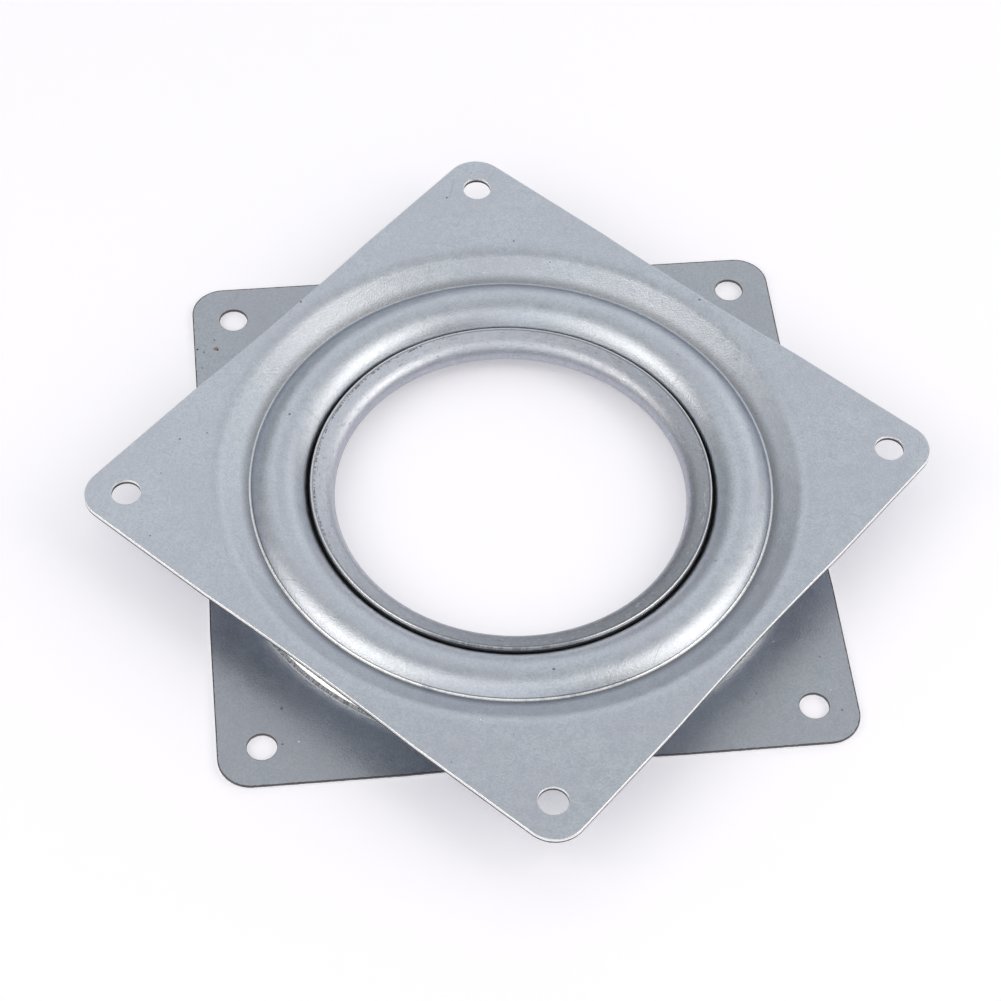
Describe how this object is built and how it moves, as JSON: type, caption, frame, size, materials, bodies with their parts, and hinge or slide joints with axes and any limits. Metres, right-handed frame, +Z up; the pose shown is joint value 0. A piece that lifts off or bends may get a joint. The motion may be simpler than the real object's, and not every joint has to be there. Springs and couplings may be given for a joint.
{
  "type": "lazy susan bearing",
  "caption": "Flat swivel bearing: crossed square plates of pressed zinc-plated steel turn on a hidden ring of balls around an open flared hub, with a screw hole in each corner.",
  "frame": {"origin": "centre of the lower plate's underside, on the turning axis", "axes": "+Z up along the turning axis, +X and +Y square to the lower plate's sides; the upper plate is stored turned 44.4 degrees counterclockwise from it, as the picture shows"},
  "size_m": [0.1392, 0.1392, 0.0102],
  "materials": {
    "zinc_sheet": "dull galvanised steel sheet with a fine mottle",
    "ball_steel": "plain tumbled steel balls with a film of grease"
  },
  "bodies": {
    "base": {"lower_plate": "zinc_sheet"},
    "top": {"upper_plate": "zinc_sheet"},
    "ball_ring": {"ball_01": "ball_steel", "ball_02": "ball_steel", "ball_03": "ball_steel", "ball_04": "ball_steel", "ball_05": "ball_steel", "ball_06": "ball_steel", "ball_07": "ball_steel", "ball_08": "ball_steel", "ball_09": "ball_steel", "ball_10": "ball_steel", "ball_11": "ball_steel", "ball_12": "ball_steel", "ball_13": "ball_steel", "ball_14": "ball_steel", "ball_15": "ball_steel", "ball_16": "ball_steel", "ball_17": "ball_steel", "ball_18": "ball_steel", "ball_19": "ball_steel", "ball_20": "ball_steel", "ball_21": "ball_steel", "ball_22": "ball_steel", "ball_23": "ball_steel", "ball_24": "ball_steel", "ball_25": "ball_steel", "ball_26": "ball_steel", "ball_27": "ball_steel", "ball_28": "ball_steel", "ball_29": "ball_steel", "ball_30": "ball_steel", "ball_31": "ball_steel", "ball_32": "ball_steel", "ball_33": "ball_steel", "ball_34": "ball_steel", "ball_35": "ball_steel", "ball_36": "ball_steel"}
  },
  "joints": [
    {"name": "swivel", "type": "hinge", "parent": "base", "child": "top", "pos_m": [0, 0, 0.0051], "axis": [0, 0, 1], "continuous": true},
    {"name": "ball_orbit", "type": "hinge", "parent": "base", "child": "ball_ring", "pos_m": [0, 0, 0.0051], "axis": [0, 0, 1], "continuous": true}
  ],
  "couplings": [
    {"joint": "ball_orbit", "follows": "swivel", "ratio": 0.5}
  ]
}
